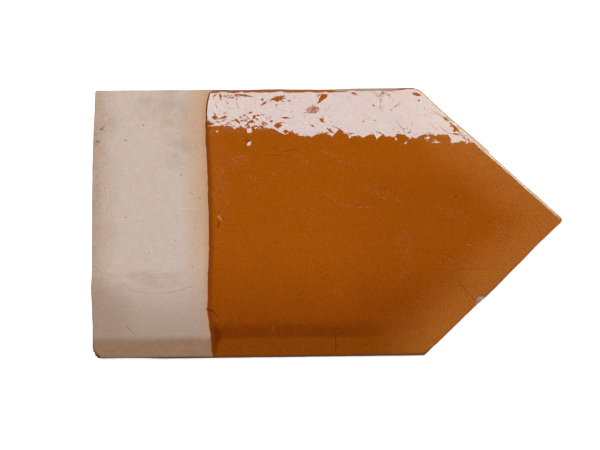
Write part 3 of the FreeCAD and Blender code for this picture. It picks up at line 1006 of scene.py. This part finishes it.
weave_inputs = {0: gf.turned(48.0), "Scale": 0.18, "Distortion": 2.8, "Detail": 2.0, "Detail Scale": 0.3}
weave = gf.node("ShaderNodeTexWave", {"bands_direction": "Y"}, weave_inputs) - 0.5
weave = weave * gf.along.between(90.0, 190.0, 0.1, 1.0)
grit_depth = gf.across.between(44.0, 50.0, 1.6, 0.9)
coat = gf.scaled(coat, 1.0 + weave * 0.06 + grit * grit_depth + fleck * 0.12 + streaky * 0.12)
print("glaze nodes so far:", len(gf.tree.nodes))

# %% [markdown]
# Dust and haze lie on the glass, in specks and in patches that the fine grain breaks up, and so do pale
# scratches. The dark scratches and the gouge go through to deeper glass, and a painted highlight marks the
# gouge's lip. How dusty a place is will also make it less shiny further on.

# %% Dust and scratches
DUST = srgb(206, 168, 146)
PAINTED_GLINT = srgb(208, 134, 66)
BEAD = srgb(128, 56, 4)

film = (grit + fleck) * gf.across.between(44.0, 50.0) * 0.8
coat = gf.blend(film, coat, DUST)
specks = gf.dots(3.4, 0.24, 0.2)
haze = gf.marks(gf.ragged(1.5, 3.0), HAZE, 0.6) * (grit + fleck).between(-0.02, 0.22)
scratches = gf.marks(gf.ragged(0.4, 1.6), PALE_SCRATCHES, 0.5) * (fleck + grit).between(-0.12, 0.10)
dusty = (haze * 0.05).math("MAXIMUM", scratches * 0.16).math("MAXIMUM", specks * 0.3)
coat = gf.blend(dusty, coat, DUST)
gouges = gf.marks(gf.ragged(0.4, 1.4), DARK_SCRATCHES, 0.5)
coat = gf.blend(gouges * 0.45, coat, POOLED_AND_SHADED)
deep_scratch = gf.mark(gf.ragged(0.4, 1.4), *DEEP_SCRATCH)
coat = gf.blend(deep_scratch * 0.7, coat, CORNER_POOL)
coat = gf.blend(gf.marks(gf.flat, GOUGE, 0.4) * 0.9, coat, BEAD)
# painted highlight: a glint on the gouge's lip
coat = gf.blend(gf.marks(gf.flat, GOUGE_PAINTED_GLINT, 0.5) * 0.8, coat, PAINTED_GLINT)
print("glaze nodes so far:", len(gf.tree.nodes))

# %% [markdown]
# Last in colour come the coat's edges. At the front the glass has pooled brown behind its bead, and the
# bead's front is brown from thick glass and from painted shade, darkest next to the pale band. The far edge
# and the point's far side have a rim where the clay shines through: a warm one under glass, a paler one on
# the bare stretch, a cream one on the point with a painted highlight. The near edges are darkened with
# painted shade. A few black specks finish it.

# %% Edges of the glaze and its black specks
BEAD_FRONT_SHADE = srgb(136, 72, 30)
BEAD_PAINTED_SHADE = srgb(98, 50, 30)
FAR_RIM = srgb(150, 100, 66)
BARE_RIM = srgb(186, 148, 122)
CREAM_RIM_AND_HIGHLIGHT = srgb(206, 172, 144)
NEAR_RIM_SHADE = srgb(98, 62, 32)
SOOT = srgb(92, 40, 22)

below_band = gf.across.between(57.0, 51.0)
coat = gf.blend((gf.past_line + streaky * 1.0).between(3.8, 0.4) * below_band * 0.9, coat, BEAD)
# the bead's front: brown thick glass, with painted shade on its slope, which faces away from the light
coat = gf.blend((gf.past_line + grit * 0.8).between(0.7, 0.3), coat, BEAD_FRONT_SHADE)
# painted shade: the bead's front is darkest next to the pale band
bead_front_shade_in_band = gf.past_line.between(0.95, 0.6) * gf.across.between(50.0, 53.0)
coat = gf.blend(bead_front_shade_in_band, coat, BEAD_PAINTED_SHADE)
coat = gf.blend(gf.thread(CRACK, 0.36, 0.2) * 0.9, coat, CRACK_DARK)
bare_stretch = gf.along.between(126.0, 130.0) * gf.along.between(161.0, 157.5)
thinner = bare_stretch * 0.6 - gf.along.between(158.0, 164.0) * 0.7
far_rim = (gf.inside + streaky * 1.0 - thinner).between(1.5, 1.0) * gf.across.between(66.0, 68.0)
coat = gf.blend(far_rim * 0.8, coat, gf.blend(bare_stretch, FAR_RIM, BARE_RIM))
far_slant = gf.across.between(0.0, 5.0) * gf.along.between(174.0, 184.0)
# the point's far side: a cream rim of bare clay showing through, with a painted highlight
slant_rim_highlight = (gf.inside + streaky * 0.5).between(1.9, 1.3) * far_slant
coat = gf.blend(slant_rim_highlight * 0.9, coat, CREAM_RIM_AND_HIGHLIGHT)
straight_side = gf.across.between(-64.0, -68.0)
# painted shade: the glaze's near edges are darkened, as they face away from the light
near_rim_shade = (gf.inside - straight_side * 0.7).between(1.0, 0.3) * gf.across.between(-2.0, -8.0)
near_rim_shade = near_rim_shade * gf.past_line.between(0.0, 2.0) * gf.height.between(3.2, 4.1)
coat = gf.blend(near_rim_shade * (straight_side * 0.45 + 0.25), coat, NEAR_RIM_SHADE)
black = gf.marks(gf.flat, BLACK_SPECKS, 0.6)
coat = gf.blend(black.between(0.2, 0.8), coat, SOOT)
gf.feed(gf.surface.inputs["Base Color"], coat)
print("glaze nodes with all colours:", len(gf.tree.nodes))

# %% [markdown]
# The shine is a mirror's, and what breaks it up is the glass's own unevenness. A lean of the surface by a
# tenth of a degree moves the softbox's mirrored edge by a millimetre, so leans are told in that measure:
# how many millimetres the edge moves. Near that edge the coat lies in small facets that lean one way or
# the other, which gives the pale band its ragged border: where a place counts as past the edge the coat
# leans towards the softbox, and elsewhere away from it. That makes the border sharp, and fades further off.

# %% Marks in the shine
DENT_MARKS = [
    (63.6, 54.9, 2.8, 2.0, 0), (63.7, 56.5, 2.5, 0.6, -53), (64.0, 54.0, 3.0, 0.6, 2),
    (67.4, 54.5, 4.7, 0.8, 13), (69.0, 55.1, 2.0, 1.3, 0), (69.3, 55.1, 1.6, 0.6, -43),
    (64.1, 52.5, 2.0, 0.5, 15), (65.5, 52.5, 1.8, 0.5, -18), (68.0, 53.2, 3.6, 0.4, 23),
    (68.9, 57.2, 1.2, 0.5, 22), (70.8, 51.9, 1.3, 0.8, 0), (71.8, 51.2, 1.0, 0.6, 27),
    (73.5, 53.3, 4.0, 0.6, 20), (75.7, 52.6, 3.4, 0.8, -53), (75.1, 53.1, 1.7, 1.3, 45),
    (77.2, 54.9, 1.3, 1.1, -30), (78.9, 55.8, 2.5, 0.5, 25), (82.3, 57.3, 3.0, 0.7, 21),
    (80.9, 54.6, 3.3, 0.4, -46), (77.7, 53.0, 1.8, 0.8, 16), (79.8, 53.4, 2.7, 0.6, 29),
    (79.9, 52.9, 2.1, 0.7, -29), (81.6, 52.1, 3.8, 0.9, 42), (83.6, 52.6, 2.5, 0.8, -42),
    (82.8, 52.5, 2.4, 1.5, 0), (84.1, 54.9, 2.3, 1.3, 55), (85.9, 55.7, 3.5, 0.6, 0),
    (88.7, 56.2, 1.9, 0.5, 8), (85.4, 53.9, 2.7, 0.7, -39), (80.9, 50.6, 2.0, 0.7, -20),
    (79.8, 50.5, 2.3, 0.5, 35), (89.2, 52.0, 2.8, 0.7, -27), (89.0, 50.9, 2.7, 0.9, -41),
    (90.9, 51.1, 1.6, 0.6, 34), (93.4, 52.7, 1.5, 1.0, 0), (92.7, 52.5, 1.1, 0.5, 24),
    (90.9, 54.1, 1.0, 0.5, -30), (92.7, 55.1, 1.1, 0.5, -48), (87.5, 50.0, 2.3, 0.8, -44),
    (86.2, 49.6, 1.5, 0.6, -43), (63.8, 66.7, 2.5, 0.7, 32), (66.5, 66.6, 1.1, 4.2, 0),
    (76.1, 66.9, 9.1, 0.9, -11), (80.5, 66.3, 7.5, 0.6, -10), (78.4, 67.8, 3.5, 0.8, -28),
    (96.5, 64.5, 6.3, 2.4, 4), (94.0, 64.4, 2.5, 1.0, 16), (99.0, 65.8, 3.5, 0.8, 10),
    (99.0, 63.2, 2.5, 0.7, -19), (88.6, 64.2, 1.4, 1.4, 0), (89.3, 62.1, 4.1, 1.0, 33),
    (92.9, 63.4, 0.8, 0.7, 0), (95.8, 61.2, 0.8, 0.8, 0), (102.5, 63.6, 2.1, 0.4, 1),
    (120.9, 66.1, 9.6, 2.9, 52), (118.3, 66.5, 4.4, 0.6, 52), (120.0, 64.2, 3.3, 0.5, 55),
    (96.5, 50.2, 3.7, 2.5, 5), (97.7, 51.6, 4.2, 0.6, 5), (100.7, 47.0, 3.0, 1.7, -10),
    (100.6, 54.4, 4.2, 0.9, -5), (119.6, 52.8, 3.2, 1.4, -41), (114.7, 50.0, 2.2, 0.8, -24),
    (103.4, 46.5, 6.5, 0.6, -15), (104.2, 46.8, 2.6, 0.5, -54), (124.0, 47.2, 4.5, 1.0, -36),
    (122.6, 46.2, 2.4, 0.5, -13), (123.9, 47.8, 1.5, 0.5, 59), (136.7, 67.0, 3.4, 1.0, -22),
    (134.5, 45.8, 3.1, 0.5, -2), (134.7, 45.3, 1.4, 0.5, 38), (159.8, 69.3, 2.1, 1.4, 0),
    (169.6, 66.3, 4.9, 1.6, -14), (184.7, 53.0, 3.6, 1.4, -43), (189.4, 48.2, 6.6, 1.4, -46),
    (187.9, 49.1, 2.9, 0.6, 3), (189.3, 46.8, 2.2, 1.6, 14), (193.7, 43.3, 7.0, 0.5, -50),
    (189.9, 44.8, 6.1, 0.6, -8), (196.3, 41.7, 1.9, 0.8, -58), (165.3, 46.0, 2.0, 0.8, 19),
    (164.3, 48.2, 0.6, 0.5, 0), (170.4, 48.6, 1.3, 0.4, -50), (166.0, 47.1, 0.9, 0.5, 54),
    (149.8, 45.9, 5.1, 0.5, -27), (171.9, 44.2, 6.6, 0.5, 17),
]
HAIRLINES = [
    (127.2, 48.8, 5.0, 0.3, -26), (161.2, 48.7, 7.2, 0.25, -52), (180.4, 55.9, 7.1, 0.25, -37),
    (183.3, 47.4, 6.7, 0.25, -40), (156.1, 58.0, 1.5, 0.5, 26), (158.7, 60.2, 1.7, 0.5, 37),
    (160.2, 61.4, 2.2, 0.4, 40), (150.6, 61.3, 7.6, 0.25, -89), (149.8, 65.4, 2.2, 0.4, 42),
    (151.4, 67.0, 2.7, 0.4, 53), (152.2, 67.7, 1.7, 0.4, 71), (148.6, 68.3, 4.7, 0.4, -5),
    (75.4, 61.9, 4.5, 0.2, -73), (64.4, 60.8, 2.7, 0.4, -62), (178.3, 48.5, 4.9, 0.2, -33),
    (69.8, 63.3, 3.7, 0.2, -46),
]
PIMPLE_MARKS = [
    (81.1, 40.3, 3.8, 1.5, 49), (81.7, 39.7, 1.7, 0.9, 55), (148.0, 44.3, 3.7, 1.2, -77),
    (158.3, 42.6, 2.8, 0.8, -63), (163.3, 40.5, 2.5, 0.8, 44), (174.5, 43.1, 2.7, 0.8, 12),
    (175.1, 42.4, 3.4, 0.6, 56), (179.3, 40.6, 5.0, 0.7, -5), (178.8, 41.7, 2.5, 0.5, -22),
    (188.7, 40.9, 4.0, 0.7, 9), (64.8, 47.5, 2.0, 0.7, 16), (81.6, 47.7, 2.9, 2.9, -37),
    (137.8, 45.2, 3.1, 1.4, 20), (65.9, 51.1, 10.3, 0.9, 8), (134.1, 43.9, 1.3, 1.6, 0),
]
# along, and how far the mirrored edge is moved there
RIPPLE = [
    (60.2, -1.2), (62.5, -0.2), (65.3, 1.0), (66.8, 2.0), (70.3, 1.0), (71.8, 0.6), (72.8, 2.6),
    (74.7, 2.2), (77.0, 1.0), (79.1, 2.6), (80.4, 1.3), (83.6, 0.9), (86.7, 0.6), (88.9, 0.8), (91.5, 1.4),
    (95.6, 1.0), (97.1, 2.2), (101.6, 4.2), (102.3, 3.0), (106.1, 2.9), (108.2, 3.7), (112.7, 4.1),
    (116.1, 3.6), (116.8, 1.9), (120.9, 1.9), (125.4, 3.0), (128.5, -0.6), (132.9, 1.6), (135.1, 3.5),
    (137.0, 1.8), (141.8, 2.6), (145.6, 0.4), (147.0, 0.7), (148.0, 3.1), (150.1, 1.3), (151.4, 0.1),
    (152.7, 1.1), (154.9, 1.9), (157.3, 1.6), (158.2, 0.4), (162.6, 0.0), (165.4, 2.0), (167.2, 1.3),
    (168.0, 2.3), (172.5, -0.2), (175.4, -1.1), (178.3, -1.1), (179.2, 0.3), (181.0, -1.3), (185.4, -1.5),
    (187.0, 1.0), (187.3, 2.9), (190.6, 2.1), (195.4, 2.0), (198.8, 2.0), (201.4, 4.2),
]

# %% Border of the pale band
# the straight line that the border keeps to: a place on it, along and across, and its slope
EDGE_ALONG, EDGE_ACROSS, EDGE_SLOPE = 60.0, 52.2, -0.0715
# the facets that break it up, large and small, and the part of it that is splintered most
FACET_SIZE, CHIP_SIZE = 3.4, 1.1
FACET_SHIFT = 6.0
SPLINTERED = (80.0, 52.5, 46.0, 12.0, 0)

straight_edge = (gf.along - EDGE_ALONG) * EDGE_SLOPE + EDGE_ACROSS
ripple = gf.course(gf.along, 58.0, 204.0, RIPPLE, -8.0, 8.0)
facet_settings = {"voronoi_dimensions": "2D", "distance": "MANHATTAN"}
facet_inputs = {"Vector": gf.flat, "Scale": 1.0 / FACET_SIZE, "Randomness": 0.75}
facet = gf.axis(gf.node("ShaderNodeTexVoronoi", facet_settings, facet_inputs, output=1), "X") - 0.5
chip_inputs = {"Vector": gf.flat, "Scale": 1.0 / CHIP_SIZE, "Randomness": 0.9}
chips = gf.axis(gf.node("ShaderNodeTexVoronoi", facet_settings, chip_inputs, output=1), "Y") - 0.5
mosaic = gf.mark(gf.flat, *SPLINTERED)
past_edge = gf.across - straight_edge + ripple
past_edge = past_edge + facet * (mosaic * 1.7 + 0.6) + chips * (mosaic * 0.2 + 1.2)
lit = past_edge.between(-0.2, 0.2, -FACET_SHIFT, FACET_SHIFT)
edge_shift = lit * past_edge.math("ABSOLUTE").between(9.0, 4.0)
print("glaze nodes with the band:", len(gf.tree.nodes))

# %% [markdown]
# Inside the band are dents, pits, hairlines and one worn patch that lean so far that they mirror the dark
# ceiling. Below it are pimples that lean the other way and catch the softbox.

# %% Dents, pits and pimples
DARK_SHIFT = -34.0
PALE_SHIFT = 13.0
FLAWED = [(72.0, 66.6, 19.0, 3.6, -3), (151.5, 67.0, 9.0, 4.0, 0)]
WORN = (114.6, 58.5, 6.3, 4.0, 10)

splinters = gf.ragged(0.32, 0.8)
dents = gf.marks(splinters, DENT_MARKS, 0.15, pointed=True)
pits = gf.dots(1.4, 0.28, 0.3) * (gf.grain(9.0, 1.0) + gf.along * 0.0016).between(0.58, 0.76)
pits = pits.between(0.1, 0.6)
flaws = gf.dots(0.9, 0.45, 0.5) * gf.marks(gf.ragged(1.5, 2.5), FLAWED)
pits = pits.math("MAXIMUM", flaws)
worn = gf.mark(gf.ragged(0.9, 2.5), *WORN, soft=0.15) * gf.grain(0.22, 1.0).between(0.44, 0.5)
far = gf.marks(gf.ragged(0.25, 1.5), HAIRLINES, 0.35).math("MAXIMUM", dents).math("MAXIMUM", pits)
far = far.math("MAXIMUM", worn).math("MAXIMUM", black.between(0.0, 0.15))
pimples = gf.marks(splinters, PIMPLE_MARKS, 0.2, pointed=True)
edge_shift = edge_shift + far * DARK_SHIFT + pimples * PALE_SHIFT
print("glaze nodes with the dents:", len(gf.tree.nodes))

# %% [markdown]
# All these shifts become one lean of the surface's normal. The bead's front and the near arrises don't
# mirror the pale room on the real tile, so the normal is drawn upright there, and beside the band the
# bead's front also leans away from the softbox. Dust makes the glass a little less shiny.

# %% Shine of the glaze
LEAN_PER_MM = 0.00164
BEAD_LEAN = -0.3
UPRIGHT_PULL = 3.0

lean = gf.node("ShaderNodeCombineXYZ", None, {"Y": edge_shift * LEAN_PER_MM})
upright = gf.node("ShaderNodeNewGeometry", None, None, output=1)
near_arris = gf.inside.between(0.8, 0.3) * gf.across.between(-3.0, -6.0)
levelled = gf.past_line.between(1.0, 0.4).math("MAXIMUM", near_arris) * UPRIGHT_PULL
bead_front = gf.node("ShaderNodeCombineXYZ", None, {"Y": bead_front_shade_in_band * BEAD_LEAN, "Z": levelled})
lean = gf.vector("ADD", lean, bead_front)
gf.feed(gf.surface.inputs["Normal"], gf.vector("NORMALIZE", gf.vector("ADD", upright, lean)))
gf.feed(gf.surface.inputs["Roughness"], dusty * 0.4 + 0.03)
gf.show_on(glaze_piece)
print("glaze nodes:", len(gf.tree.nodes))

# %% Finish
bpy.context.scene.view_settings.view_transform = "Standard"
